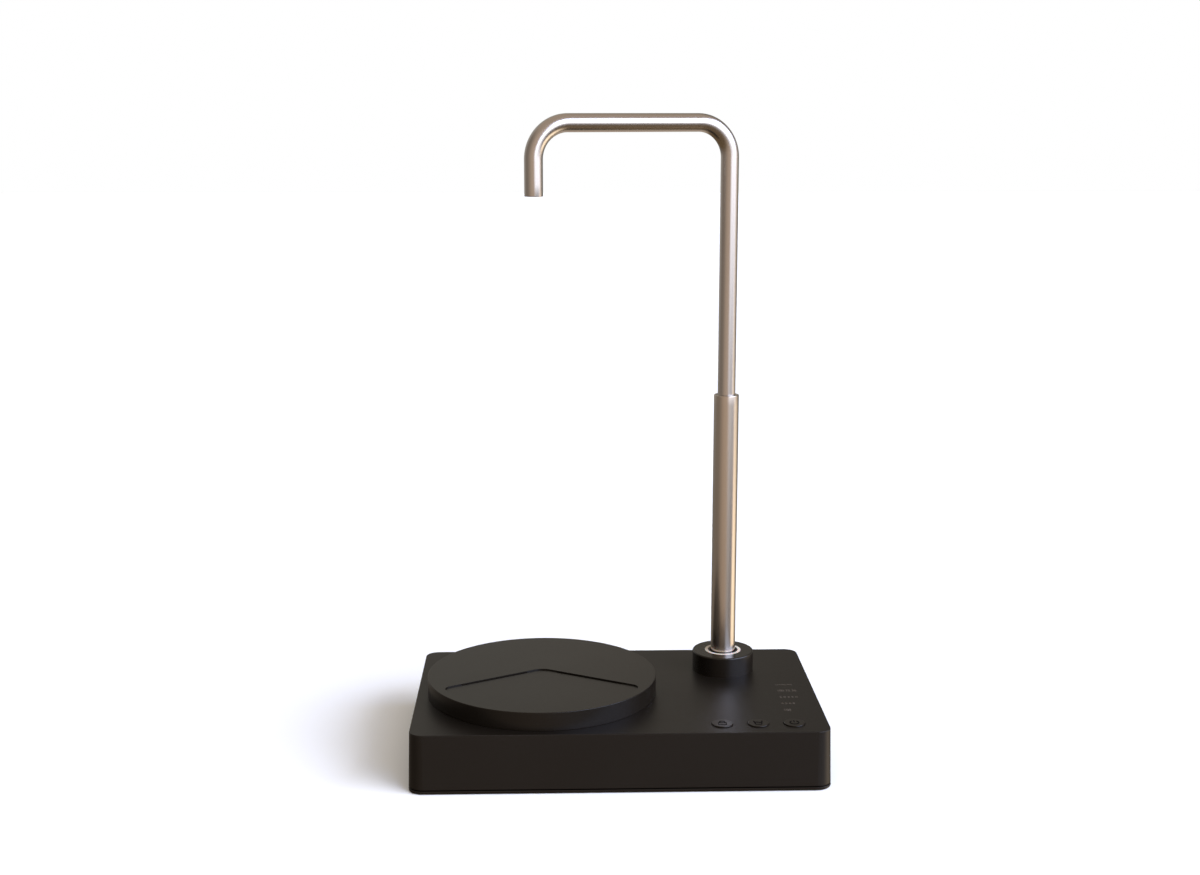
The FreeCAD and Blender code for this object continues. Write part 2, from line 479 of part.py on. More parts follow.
def pump():
    can = rod_x(10.0, MOTOR_X0, PUMP_HEAD_X0 - 0.01, PUMP_Y, PUMP_Z)
    can = can.cut(rod_x(8.9, MOTOR_X0 + 1.2, PUMP_HEAD_X0 - 1.2, PUMP_Y, PUMP_Z))
    can = can.cut(rod_x(1.05, MOTOR_X0 + 0.6, PUMP_HEAD_X0 + 1, PUMP_Y, PUMP_Z))
    save("pump_motor", can)
    magnets = rod_x(8.8, MOTOR_X0 + 6, PUMP_HEAD_X0 - 6, PUMP_Y, PUMP_Z)
    magnets = magnets.cut(rod_x(7.3, MOTOR_X0 + 5, PUMP_HEAD_X0 - 5, PUMP_Y, PUMP_Z))
    magnets = magnets.cut(block(MOTOR_X0, PUMP_HEAD_X0, PUMP_Y - 12, PUMP_Y + 12, PUMP_Z - 2, PUMP_Z + 2))
    save("motor_magnets", magnets)
    rotor = join(rod_x(1.0, MOTOR_X0 + 0.9, PUMP_HEAD_X0 + 5.5, PUMP_Y, PUMP_Z),
                 rod_x(6.9, MOTOR_X0 + 7, PUMP_HEAD_X0 - 7, PUMP_Y, PUMP_Z))
    slots = [block(MOTOR_X0, PUMP_HEAD_X0 - 2, PUMP_Y + 4.0, PUMP_Y + 8, PUMP_Z - 0.6, PUMP_Z + 0.6)
             for _ in range(3)]
    for i, slot in enumerate(slots):
        slot.rotate(V(0, PUMP_Y, PUMP_Z), V(1, 0, 0), 120 * i)
    save("motor_rotor", rotor.cut(join(*slots)))

    head = block(PUMP_HEAD_X0, PUMP_HEAD_X0 + 10, PUMP_Y - 11, PUMP_Y + 11, PUMP_Z - 10.5, PUMP_Z + 10.5)
    head = head.makeFillet(2.5, [e for e in head.Edges if e.BoundBox.XLength > 9])
    head = head.cut(rod_x(9.0, PUMP_HEAD_X0 + 2, PUMP_HEAD_X0 + 11, PUMP_Y, PUMP_Z))
    head = head.cut(rod_x(1.1, PUMP_HEAD_X0 - 1, PUMP_HEAD_X0 + 3, PUMP_Y, PUMP_Z))
    save("pump_head", head)
    lid = block(PUMP_HEAD_X0 + 10, PUMP_HEAD_X1, PUMP_Y - 11, PUMP_Y + 11, PUMP_Z - 10.5, PUMP_Z + 10.5)
    lid = lid.makeFillet(2.5, [e for e in lid.Edges if e.BoundBox.XLength > 9])
    barbs = [rod_x(BARB_R, PUMP_HEAD_X1 - 1, PUMP_HEAD_X1 + 8, y, z) for y, z in pump_ports()]
    lid = join(lid, *barbs)
    for y, z in pump_ports():
        lid = lid.cut(rod_x(1.2, PUMP_HEAD_X0, PUMP_HEAD_X1 + 9, y, z))
    save("pump_lid", lid)
    vanes = [block(PUMP_HEAD_X0 + 3, PUMP_HEAD_X0 + 8.5, PUMP_Y - 0.7, PUMP_Y + 0.7, PUMP_Z, PUMP_Z + 8.3)
             for _ in range(6)]
    for i, vane in enumerate(vanes):
        vane.rotate(V(0, PUMP_Y, PUMP_Z), V(1, 0, 0), 60 * i)
    wheel = join(rod_x(8.3, PUMP_HEAD_X0 + 2.5, PUMP_HEAD_X0 + 3.7, PUMP_Y, PUMP_Z),
                 rod_x(3.0, PUMP_HEAD_X0 + 2.5, PUMP_HEAD_X0 + 9, PUMP_Y, PUMP_Z), *vanes)
    save("impeller", wheel.cut(rod_x(1.0, PUMP_HEAD_X0, PUMP_HEAD_X0 + 5.5, PUMP_Y, PUMP_Z)))

    saddle = block(-54, -38, PUMP_Y - 11.6, PUMP_Y + 11.6, COVER_Z1, 9.5)
    save("pump_cradle", saddle.cut(rod_x(10.0, -60, -30, PUMP_Y, PUMP_Z)))
    strap = rod_x(11.0, -49, -43, PUMP_Y, PUMP_Z).cut(rod_x(10.05, -50, -42, PUMP_Y, PUMP_Z))
    strap = strap.cut(block(-50, -42, PUMP_Y - 12, PUMP_Y + 12, 0, PUMP_Z))
    for side in (-1, 1):
        y0, y1 = sorted((PUMP_Y + side * 11.7, PUMP_Y + side * 12.6))
        leg = block(-49, -43, y0, y1, 3.4, PUMP_Z + 0.9)
        y0, y1 = sorted((PUMP_Y + side * 10.2, PUMP_Y + side * 12.6))
        shoulder = block(-49, -43, y0, y1, PUMP_Z, PUMP_Z + 0.9)
        y0, y1 = sorted((PUMP_Y + side * 11.7, PUMP_Y + side * 17.0))
        tab = block(-49, -43, y0, y1, 3.4, 4.3)
        strap = join(strap, leg, shoulder, tab)
    for x, y in clamp_points():
        strap = strap.cut(cyl(1.1, 3, 5, x, y))
    save("pump_clamp", strap)
    save("clamp_screws", [screw(x, y, 4.3 + 1.2, 2.4, 0.9, 1.8, 1.2, up=False) for x, y in clamp_points()])


def pump_ports():
    """Inlet and outlet barbs on the pump's lid, as (y, z)."""
    return [(PUMP_Y, PUMP_Z), (PUMP_Y - 6.0, 8.5)]


def water_path():
    wall_y = BASE_D / 2 + side_offset(INLET_Z)
    fitting = join(rod_y(6.0, 52, wall_y - 0.3, INLET_X, INLET_Z),
                   rod_y(8.2, 56.6, wall_y - WALL - 0.4, INLET_X, INLET_Z),
                   rod_y(BARB_R, 45, 53, INLET_X, INLET_Z))
    fitting = fitting.cut(rod_y(5.1, 57, 70, INLET_X, INLET_Z))
    fitting = fitting.cut(rod_y(3.25, 54, 70, INLET_X, INLET_Z))
    save("inlet_fitting", fitting.cut(rod_y(1.2, 40, 60, INLET_X, INLET_Z)))
    collet = rod_y(5.0, 58, wall_y + 0.2, INLET_X, INLET_Z)
    save("inlet_collet", collet.cut(rod_y(3.25, 50, 70, INLET_X, INLET_Z)))

    (in_y, in_z), (out_y, out_z) = pump_ports()
    start_x = PUMP_HEAD_X1 + 1
    in_route = [V(start_x, in_y, in_z), V(INLET_X, in_y, in_z), V(INLET_X, 51.5, in_z)]
    barb_x = COL_X - 12.6
    out_route = [V(start_x, out_y, out_z), V(8, out_y, out_z), V(24, COL_Y, out_z), V(barb_x, COL_Y, out_z)]
    for name, route, bend in (("inlet_hose", in_route, 14.0), ("outlet_hose", out_route, 20.0)):
        hose = pipe(route, bend, HOSE_R).cut(pipe(route, bend, HOSE_BORE))
        save(name, hose)
    clip_points = ((start_x + 2, in_y, in_z), (start_x + 2, out_y, out_z), (barb_x - 5, COL_Y, out_z))
    clips = [rod_x(3.7, x, x + 3, y, z).cut(rod_x(3.02, x - 1, x + 4, y, z)) for x, y, z in clip_points]
    clips.append(rod_y(3.7, 47, 50, INLET_X, INLET_Z).cut(rod_y(3.02, 46, 51, INLET_X, INLET_Z)))
    save("hose_clips", clips)


def leads():
    """Wiring, held along its whole way by the housing; each lead ends at its plug under the board."""
    plug_z = BOARD_Z - 2.5
    lead_x = COL_X
    lead_y = COL_Y - RING_LEAD_R
    routes = {
        "battery_lead": [V(3.6, -14, 16.5), V(22, -14, 16.5), V(22, -45.5, plug_z), V(38, -45.5, plug_z)],
        "pump_lead": [V(MOTOR_X0, 24, 20), V(-72, 24, 20), V(-72, 4, 20), V(14, 4, 20),
                      V(14, -53.5, 20), V(26, -53.5, plug_z), V(38, -53.5, plug_z)],
        "ring_lead": [V(lead_x, lead_y, BASE_TOP + 4.2), V(lead_x, lead_y, plug_z), V(lead_x, -36, plug_z)],
        "usb_lead": [V(USB_X, 40, 11.2), V(USB_X, 8, 6), V(40, 8, 6),
                     V(69.5, -8, plug_z), V(69.5, -36, plug_z)],
    }
    for name, route in routes.items():
        save(name, pipe(route, 5.0, LEAD_R))


def main():
    os.makedirs("parts", exist_ok=True)
    base()
    save("tray_cover", tray_cover())
    save("tray_dish", tray_dish())
    column()
    spout()
    buttons()
    electronics()
    charging()
    cells()
    pump()
    water_path()
    leads()


main()
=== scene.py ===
"""Countertop water dispenser: materials, detailed tubes, key symbols, printed rows, light and camera
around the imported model. Metres, +Z up, the user stands on the -Y side."""

import json
import math

import bpy
import bmesh
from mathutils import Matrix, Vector


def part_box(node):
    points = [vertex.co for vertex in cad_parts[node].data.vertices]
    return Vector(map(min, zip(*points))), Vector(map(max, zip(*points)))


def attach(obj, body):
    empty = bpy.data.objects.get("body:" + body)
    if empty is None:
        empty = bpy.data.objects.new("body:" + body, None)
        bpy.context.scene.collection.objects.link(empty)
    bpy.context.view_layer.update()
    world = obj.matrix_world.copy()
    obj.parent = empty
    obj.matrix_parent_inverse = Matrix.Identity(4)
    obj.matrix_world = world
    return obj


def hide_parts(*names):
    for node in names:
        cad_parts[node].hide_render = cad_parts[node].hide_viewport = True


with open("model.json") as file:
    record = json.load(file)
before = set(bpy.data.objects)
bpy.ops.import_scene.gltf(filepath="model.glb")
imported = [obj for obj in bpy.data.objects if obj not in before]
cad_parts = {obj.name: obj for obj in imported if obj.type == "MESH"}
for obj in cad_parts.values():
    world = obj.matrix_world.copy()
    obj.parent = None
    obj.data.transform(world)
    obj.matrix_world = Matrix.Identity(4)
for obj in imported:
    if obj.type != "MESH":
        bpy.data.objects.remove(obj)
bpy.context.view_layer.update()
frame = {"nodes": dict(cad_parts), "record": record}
NODES = frame["nodes"]
SLOT_OF = {part["node"]: part["material_slot"] for part in frame["record"]["subparts"]}
MM = 0.001


# ---------------------------------------------------------------- node graph helper
class Graph:
    """Short calls for building a shader graph. A plain number or tuple goes straight to a socket."""

    def __init__(self, tree):
        self.tree = tree
        tree.nodes.clear()

    def node(self, kind, **settings):
        made = self.tree.nodes.new(kind)
        for key, value in settings.items():
            setattr(made, key, value)
        return made

    def put(self, socket, value):
        if isinstance(value, bpy.types.NodeSocket):
            self.tree.links.new(value, socket)
        else:
            socket.default_value = value

    def fill(self, made, *values):
        """Puts values on a node's first inputs; gives its first output."""
        for socket, value in zip(made.inputs, values):
            self.put(socket, value)
        return made.outputs[0]

    def math(self, operation, *values):
        return self.fill(self.node("ShaderNodeMath", operation=operation), *values)

    def times(self, a, b):
        return self.math("MULTIPLY", a, b)

    def linear(self, value, factor, shift):
        return self.math("MULTIPLY_ADD", value, factor, shift)

    def step(self, value, low, high, to_low=0.0, to_high=1.0):
        """Smooth ramp of value from low to high, clamped."""
        ramp = self.node("ShaderNodeMapRange", interpolation_type="SMOOTHSTEP")
        return self.fill(ramp, value, low, high, to_low, to_high)

    def mix(self, factor, a, b):
        """Mixes two colours."""
        made = self.node("ShaderNodeMix", data_type="RGBA")
        self.put(made.inputs[0], factor)
        for socket, value in ((made.inputs[6], a), (made.inputs[7], b)):
            self.put(socket, value if isinstance(value, bpy.types.NodeSocket) else (*value, 1.0))
        return made.outputs[2]

    def noise(self, vector, scale, detail, rough):
        """Noise with about `scale` grains in a metre."""
        made = self.node("ShaderNodeTexNoise")
        self.put(made.inputs["Vector"], vector)
        made.inputs["Scale"].default_value = scale
        made.inputs["Detail"].default_value = detail
        made.inputs["Roughness"].default_value = rough
        return made.outputs["Fac"]

    def stretch(self, vector, x, y, z):
        return self.fill(self.node("ShaderNodeVectorMath", operation="MULTIPLY"), vector, (x, y, z))

    def bump(self, height, distance, under=None):
        made = self.node("ShaderNodeBump")
        made.inputs["Distance"].default_value = distance
        self.put(made.inputs["Height"], height)
        if under is not None:
            self.put(made.inputs["Normal"], under)
        return made.outputs[0]

    def place(self):
        return self.node("ShaderNodeTexCoord").outputs["Object"]

    def principled(self, **values):
        """Principled shader; keys are socket names with _ for spaces."""
        shader = self.node("ShaderNodeBsdfPrincipled")
        for key, value in values.items():
            self.put(shader.inputs[key.replace("_", " ")], value)
        self.put(self.node("ShaderNodeOutputMaterial").inputs["Surface"], shader.outputs[0])


def new_material(name):
    made = bpy.data.materials.new(name)
    made.use_nodes = True
    return made, Graph(made.node_tree)


def tone(color, factor):
    return tuple(c * factor for c in color)


# ---------------------------------------------------------------- materials
MOTTLE = 0.12                            # how far the tone of a plastic wanders, as a share
SCRATCH_WIDTH, SCRATCH_LENGTH = 0.22 * MM, 26 * MM
SCRATCH_DEPTH = 0.002 * MM


def plastic(name, color, rough, grain=0.35 * MM, depth=0.012 * MM, spread=0.05, gloss=0.5):
    """Moulded plastic: fine spark-eroded grain, slow changes of gloss and tone."""
    made, g = new_material(name)
    place = g.place()
    fine = g.noise(place, 1 / grain, 2.0, 0.55)
    wide = g.noise(place, 28.0, 3.0, 0.6)
    cloud = g.noise(place, 420.0, 2.0, 0.6)
    handled = g.linear(wide, spread, rough - spread * 0.8)
    g.principled(
        Base_Color=g.mix(wide, tone(color, 1 - MOTTLE), tone(color, 1 + MOTTLE)),
        Roughness=g.linear(cloud, spread * 0.6, handled),
        Specular_IOR_Level=gloss,
        Normal=g.bump(fine, depth),
    )
    return made


def brushed(name, color, rough):
    """Brushed steel: fine scratches that run along the tube, with their own gloss and tone."""
    made, g = new_material(name)
    along = g.node("ShaderNodeAttribute", attribute_name="along").outputs["Vector"]
    lines = g.stretch(along, 1 / SCRATCH_WIDTH, 1 / SCRATCH_WIDTH, 1 / SCRATCH_LENGTH)
    bands = g.stretch(along, 0.25 / SCRATCH_WIDTH, 0.25 / SCRATCH_WIDTH, 0.3 / SCRATCH_LENGTH)
    fine = g.noise(lines, 1.0, 3.0, 0.6)
    wide = g.noise(bands, 1.0, 2.0, 0.5)
    specks = g.noise(along, 1 / (0.5 * MM), 2.0, 0.6)
    streaks = g.linear(fine, 0.06, rough - 0.05)
    tint = g.linear(specks, 0.4, g.times(fine, 0.6))
    g.principled(
        Base_Color=g.mix(tint, tone(color, 0.93), tone(color, 1.06)),
        Metallic=1.0,
        Roughness=g.linear(wide, 0.04, streaks),
        Normal=g.bump(fine, SCRATCH_DEPTH),
    )
    return made


def rubber(name, color):
    made, g = new_material(name)
    place = g.place()
    grain = g.noise(place, 2200.0, 3.0, 0.65)
    dust = g.noise(place, 160.0, 4.0, 0.6)
    g.principled(
        Base_Color=g.mix(dust, tone(color, 0.8), tone(color, 1.5)),
        Roughness=g.linear(dust, 0.2, 0.65),
        Specular_IOR_Level=0.3,
        Normal=g.bump(grain, 0.03 * MM),
    )
    return made


def clear_plastic(name, color, rough, body):
    """Translucent moulded plastic, such as a diffuser or a silicone hose."""
    made, g = new_material(name)
    cloud = g.noise(g.place(), 600.0, 3.0, 0.6)
    g.principled(
        Base_Color=g.mix(cloud, tone(color, 0.96), color),
        Roughness=g.linear(cloud, 0.1, rough - 0.05),
        Normal=g.bump(cloud, 0.01 * MM),
        Subsurface_Weight=body,
        Subsurface_Scale=1 * MM,
    )
    return made


def laminate(name):
    """Solder-masked circuit board with a faint weave and copper traces under the mask."""
    made, g = new_material(name)
    place = g.place()
    waves = g.node("ShaderNodeTexWave", bands_direction="DIAGONAL", wave_profile="TRI")
    g.put(waves.inputs["Vector"], place)
    waves.inputs["Scale"].default_value = 420.0
    waves.inputs["Distortion"].default_value = 6.0
    waves.inputs["Detail Scale"].default_value = 0.4
    traces = g.step(waves.outputs["Fac"], 0.62, 0.68)
    weave = g.noise(g.stretch(place, 1.0, 1.0, 0.2), 2600.0, 2.0, 0.5)
    g.principled(
        Base_Color=g.mix(traces, (0.012, 0.075, 0.03), (0.02, 0.13, 0.05)),
        Roughness=g.linear(weave, 0.2, 0.25),
        Normal=g.bump(traces, 0.02 * MM, under=g.bump(weave, 0.01 * MM)),
    )
    return made


def metal(name, color, rough, grain=0.6 * MM):
    """Drawn, sintered or plated metal with a fine uneven finish."""
    made, g = new_material(name)
    place = g.place()
    fine = g.noise(place, 1 / grain, 4.0, 0.65)
    wide = g.noise(place, 60.0, 3.0, 0.6)
    g.principled(
        Base_Color=g.mix(wide, tone(color, 0.85), tone(color, 1.1)),
        Metallic=1.0,
        Roughness=g.linear(fine, 0.16, g.linear(wide, 0.08, rough - 0.12)),
        Normal=g.bump(fine, 0.006 * MM),
    )
    return made


BLACK = (0.0044, 0.0036, 0.0027)
MATERIALS = {
    "housing": plastic("black housing", BLACK, 0.40, gloss=0.34),
    "base_cover": plastic("black cover", BLACK, 0.34, gloss=0.34),
    "collar": plastic("black collar", BLACK, 0.28, depth=0.002 * MM, spread=0.03, gloss=0.46),
    "tray_top": plastic("black tray", BLACK, 0.31, gloss=0.32),
    "tray_well": plastic("black dish", tone(BLACK, 1.2), 0.42),
    "key_plastic": plastic("black keys", tone(BLACK, 1.2), 0.33, depth=0.006 * MM, gloss=0.36),
    "bush_plastic": plastic("acetal bush", (0.62, 0.60, 0.55), 0.4, depth=0.005 * MM),
    "inner_plastic": plastic("black inner plastic", (0.03, 0.03, 0.03), 0.45),
    "pump_plastic": plastic("white pump plastic", (0.74, 0.74, 0.72), 0.4),
    "collet_plastic": plastic("grey collet", (0.30, 0.31, 0.32), 0.38, depth=0.006 * MM),
    "screen_plastic": plastic("outlet screen", (0.55, 0.55, 0.53), 0.4, depth=0.004 * MM),
    "component": plastic("component", (0.018, 0.018, 0.019), 0.5, grain=0.2 * MM),
    "cell_wrap": plastic("cell wrap", (0.02, 0.11, 0.32), 0.28, depth=0.003 * MM),
    "lead_pvc": plastic("lead sleeve", (0.028, 0.026, 0.026), 0.42, depth=0.01 * MM),
    "seal_rubber": rubber("seal rubber", (0.014, 0.014, 0.014)),
    "foot_rubber": rubber("foot rubber", (0.022, 0.021, 0.021)),
    "light_diffuser": clear_plastic("light ring diffuser", (0.62, 0.58, 0.56), 0.35, 0.25),
    "hose_silicone": clear_plastic("silicone hose", (0.62, 0.62, 0.58), 0.35, 0.5),
    "led": clear_plastic("led", (0.85, 0.80, 0.45), 0.25, 0.3),
    "board": laminate("circuit board"),
    "upper_steel": brushed("brushed upper tube", (0.63, 0.605, 0.58), 0.24),
    "lower_steel": brushed("brushed lower tube", (0.64, 0.59, 0.53), 0.25),
    "sheet_steel": metal("sheet steel", (0.58, 0.58, 0.58), 0.34),
    "contact_metal": metal("nickel contacts", (0.68, 0.65, 0.58), 0.3),
    "screw_steel": metal("screw steel", (0.50, 0.50, 0.51), 0.32),
    "socket_metal": metal("socket shell", (0.62, 0.62, 0.63), 0.26),
    "motor_can": metal("motor can", (0.60, 0.60, 0.61), 0.3),
    "magnet": metal("ferrite magnet", (0.10, 0.10, 0.105), 0.6, grain=0.3 * MM),
    "rotor_steel": metal("rotor steel", (0.46, 0.46, 0.47), 0.4),
    "symbols": plastic("key symbols", (0.0022, 0.0020, 0.0019), 0.75, depth=0.003 * MM, gloss=0.08),
    "print": plastic("grey print", (0.085, 0.076, 0.069), 0.5, depth=0.002 * MM),
}


def dress_cad_nodes():
    for name, node in NODES.items():
        node.data.materials.clear()
        node.data.materials.append(MATERIALS[SLOT_OF[name]])


# ---------------------------------------------------------------- swept tubes
UPPER_R, UPPER_BORE, BEND = 4.5 * MM, 3.7 * MM, 17.2 * MM
LOWER_BORE, LIP_BORE, LIP_H, LIP_EDGE = 5.55 * MM, 4.6 * MM, 1.0 * MM, 0.45 * MM
TIP_BELOW_SCREEN, TIP_EDGE = 1.5 * MM, 0.3 * MM
HIDDEN_EDGE = 0.15 * MM                  # rounding of the ends inside other pieces
AROUND, BEND_STEPS, EDGE_STEPS, LIP_STEPS = 72, 36, 5, 8


def link(obj):
    bpy.context.scene.collection.objects.link(obj)
    return obj


def object_from(bm, name):
    """Turns the finished bmesh into a linked object, its faces turned outwards."""
    bmesh.ops.recalc_face_normals(bm, faces=bm.faces)
    mesh = bpy.data.meshes.new(name)
    bm.to_mesh(mesh)
    bm.free()
    return link(bpy.data.objects.new(name, mesh))


def middle(node):
    low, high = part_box(node)
    return (low + high) / 2


def straight(start, end, spacing):
    count = max(1, math.ceil((end - start).length / spacing))
    return [(start.lerp(end, i / count), (end - start).normalized()) for i in range(count + 1)]


def spout_path(foot, top, tip):
    """(point, direction) samples up the column, round to the arm and down to the outlet."""
    spacing = 6 * MM
    corner_a = Vector((foot.x, foot.y, top))
    corner_b = Vector((tip.x, tip.y, top))
    out = (corner_b - corner_a).normalized()
    up = Vector((0, 0, 1))
    path = straight(foot, corner_a - up * BEND, spacing)
    for corner, a, b in ((corner_a, up, out), (corner_b, out, -up)):
        centre = corner - a * BEND + b * BEND
        for i in range(1, BEND_STEPS + 1):
            angle = math.pi / 2 * i / BEND_STEPS
            point = centre - b * BEND * math.cos(angle) + a * BEND * math.sin(angle)
            path.append((point, (a * math.cos(angle) + b * math.sin(angle)).normalized()))
        if corner is corner_a:
            path += straight(path[-1][0], corner_b - out * BEND, spacing)[1:]
    path += straight(path[-1][0], tip, spacing)[1:]
    return path, out.cross(up)


def tube_mesh(name, path, side, start, end, r_out, r_in):
    """Closed tube wall along a planar path. start and end are lists of (back from the end, radius):
    from the bore out to the wall at the start, and from the wall in to the bore at the end. The wall's
    own place, across and along, is stored on its points for the brushed finish."""
    travelled = [0.0]
    for (a, _), (b, _) in zip(path, path[1:]):
        travelled.append(travelled[-1] + (b - a).length)

    def ring(index, ahead_by, radius):
        point, ahead = path[index]
        return point + ahead * ahead_by, ahead, radius, travelled[index] + ahead_by

    clear = 1e-5
    first = max(back for back, _ in start) + clear
    last = travelled[-1] - max(back for back, _ in end) - clear
    body = [i for i in range(1, len(path) - 1) if first < travelled[i] < last]
    rings = [ring(i, 0.0, r_out) for i in body]
    rings += [ring(len(path) - 1, -back, radius) for back, radius in end]
    rings += [ring(i, 0.0, r_in) for i in reversed(body)]
    rings += [ring(0, back, radius) for back, radius in start]

    bm = bmesh.new()
    layer = bm.verts.layers.float_vector.new("along")
    rows = []
    for point, ahead, radius, travel in rings:
        other = side.cross(ahead)
        row = []
        for k in range(AROUND):
            angle = 2 * math.pi * k / AROUND
            spoke = side * math.cos(angle) + other * math.sin(angle)
            vert = bm.verts.new(point + spoke * radius)
            vert[layer] = Vector((radius * math.cos(angle), radius * math.sin(angle), travel))
            row.append(vert)
        rows.append(row)
    for row, following in zip(rows, rows[1:] + rows[:1]):
        for k in range(AROUND):
            n = (k + 1) % AROUND
            bm.faces.new((row[k], row[n], following[n], following[k])).smooth = True
    return object_from(bm, name)


def quarter(steps):
    """(sine, cosine) through a quarter turn."""
    angles = [math.pi / 2 * i / steps for i in range(steps + 1)]
    return [(math.sin(angle), math.cos(angle)) for angle in angles]


def rounded_rim(radius, edge, steps):
    """Profile from the outer wall over its rounded edge onto the end face."""
    return [(edge * (1 - s), radius - edge * (1 - c)) for s, c in quarter(steps)]


def rounded_end(r_out, r_in, edge):
    """Profile from the outer wall over both rounded edges to the bore."""
    small = edge * 0.6
    inner = [(small * (1 - c), r_in + small * (1 - s)) for s, c in quarter(EDGE_STEPS)]
    return rounded_rim(r_out, edge, EDGE_STEPS) + inner


def finish_tube(obj, body, slot, replaced):
    obj.data.materials.append(MATERIALS[slot])
    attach(obj, body)
    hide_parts(replaced)


def build_tubes():
    low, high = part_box("upper_tube")
    axis = middle("lower_tube")
    foot = Vector((axis.x, axis.y, low.z))
    outlet = middle("outlet_screen")
    tip_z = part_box("outlet_screen")[0].z - TIP_BELOW_SCREEN
    path, side = spout_path(foot, high.z - UPPER_R, Vector((outlet.x, outlet.y, tip_z)))
    start = rounded_end(UPPER_R, UPPER_BORE, HIDDEN_EDGE)[::-1]
    end = rounded_end(UPPER_R, UPPER_BORE, TIP_EDGE)
    upper = tube_mesh("spout_tube", path, side, start, end, UPPER_R, UPPER_BORE)
    finish_tube(upper, "spout", "upper_steel", "upper_tube")

    low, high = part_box("lower_tube")
    radius = (high.x - low.x) / 2
    path = straight(Vector((axis.x, axis.y, low.z)), Vector((axis.x, axis.y, high.z)), 5 * MM)
    start = rounded_end(radius, LOWER_BORE, HIDDEN_EDGE)[::-1]
    end = rounded_rim(radius, LIP_EDGE, LIP_STEPS)
    end += [(0.02 * MM, LIP_BORE + 0.05 * MM), (0.12 * MM, LIP_BORE), (LIP_H, LIP_BORE),
            (LIP_H + 0.05 * MM, LOWER_BORE)]
    lower = tube_mesh("column_tube", path, Vector((1, 0, 0)), start, end, radius, LOWER_BORE)
    finish_tube(lower, "column", "lower_steel", "lower_tube")


# ---------------------------------------------------------------- key symbols and printed rows
STROKE_WIDTH, STROKE_TOP = 0.62 * MM, 0.36       # the top's half width is a share of the whole width
STROKE_SUNK, STROKE_RAISED = 0.06 * MM, 0.14 * MM
PRINT_SUNK, PRINT_DEPTH = 0.03 * MM, 0.05 * MM
# text, then left end, near edge, length and height in millimetres
PRINT_ROWS = (
    ("123456789", 81.6, 3.7, 8.5, 1.1),
    ("100 75 50", 81.7, -5.8, 9.3, 2.5),
    ("5 0 2 5 0", 81.4, -14.9, 9.0, 1.9),
    ("4 5 6 8", 81.0, -23.9, 6.7, 1.9),
    ("100", 81.4, -33.7, 3.1, 2.8),
)


def arc(x, y, radius, start, end, steps=20):
    angles = [math.radians(start + (end - start) * i / steps) for i in range(steps + 1)]
    return [(x + radius * math.cos(a), y + radius * math.sin(a)) for a in angles]


def ribbon(bm, points, low, high, closed):
    """Raised stroke with sloping sides along a flat line."""
    pts = [Vector(p) for p in points]
    count = len(pts)
    foot, top = STROKE_WIDTH / 2, STROKE_WIDTH * STROKE_TOP
    corners = ((-foot, low), (-top, high), (top, high), (foot, low))
    rows = []
    for i, point in enumerate(pts):
        before = pts[i - 1] if i or closed else point
        after = pts[(i + 1) % count] if i < count - 1 or closed else point
        ahead = (after - before).normalized()
        across = Vector((-ahead.y, ahead.x))
        rows.append([bm.verts.new((*(point + across * s), z)) for s, z in corners])
    links = list(zip(rows, rows[1:])) + ([(rows[-1], rows[0])] if closed else [])
    for a, b in links:
        for k in range(4):
            n = (k + 1) % 4
            bm.faces.new((a[k], a[n], b[n], b[k]))
    if not closed:
        bm.faces.new(rows[0])
        bm.faces.new(rows[-1][::-1])


def symbol(name, key, body, strokes):
    """Raised strokes on top of a key; the points are in millimetres from the key's centre."""
    centre = middle(key)
    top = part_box(key)[1].z
    bm = bmesh.new()
    for points, closed in strokes:
        placed = [(centre.x + x * MM, centre.y + y * MM) for x, y in points]
        ribbon(bm, placed, top - STROKE_SUNK, top + STROKE_RAISED, closed)
    made = object_from(bm, name)
    made.data.materials.append(MATERIALS["symbols"])
    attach(made, body)


def build_symbols():
    lock_body = [(-1.9, -2.2), (1.9, -2.2), (1.9, 0.4), (-1.9, 0.4)]
    shackle = [(-1.25, 0.4)] + arc(0, 1.2, 1.25, 180, 0) + [(1.25, 0.4)]
    symbol("symbol_lock", "key_lock", "lock_button", [(lock_body, True), (shackle, False)])
    glass = [(-2.0, 2.3), (-1.4, -2.2), (1.4, -2.2), (2.0, 2.3)]
    level = [(-1.55, 0.5), (-0.8, 0.85), (0.0, 0.5), (0.8, 0.15), (1.55, 0.5)]
    symbol("symbol_cup", "key_cup", "cup_button", [(glass, False), (level, False)])
    ring = arc(0, -0.15, 2.1, 125, 415, 36)
    stem = [(0, 0.3), (0, 2.5)]
    symbol("symbol_power", "key_power", "power_button", [(ring, False), (stem, False)])


def text_mesh(text):
    """Solid letters, one unit thick about z = 0."""
    curve = bpy.data.curves.new("row", "FONT")
    curve.body = text
    curve.resolution_u = 3
    curve.extrude = 0.5
    holder = link(bpy.data.objects.new("row", curve))
    bpy.context.view_layer.update()
    mesh = bpy.data.meshes.new_from_object(holder.evaluated_get(bpy.context.evaluated_depsgraph_get()))
    bpy.data.objects.remove(holder)
    return mesh


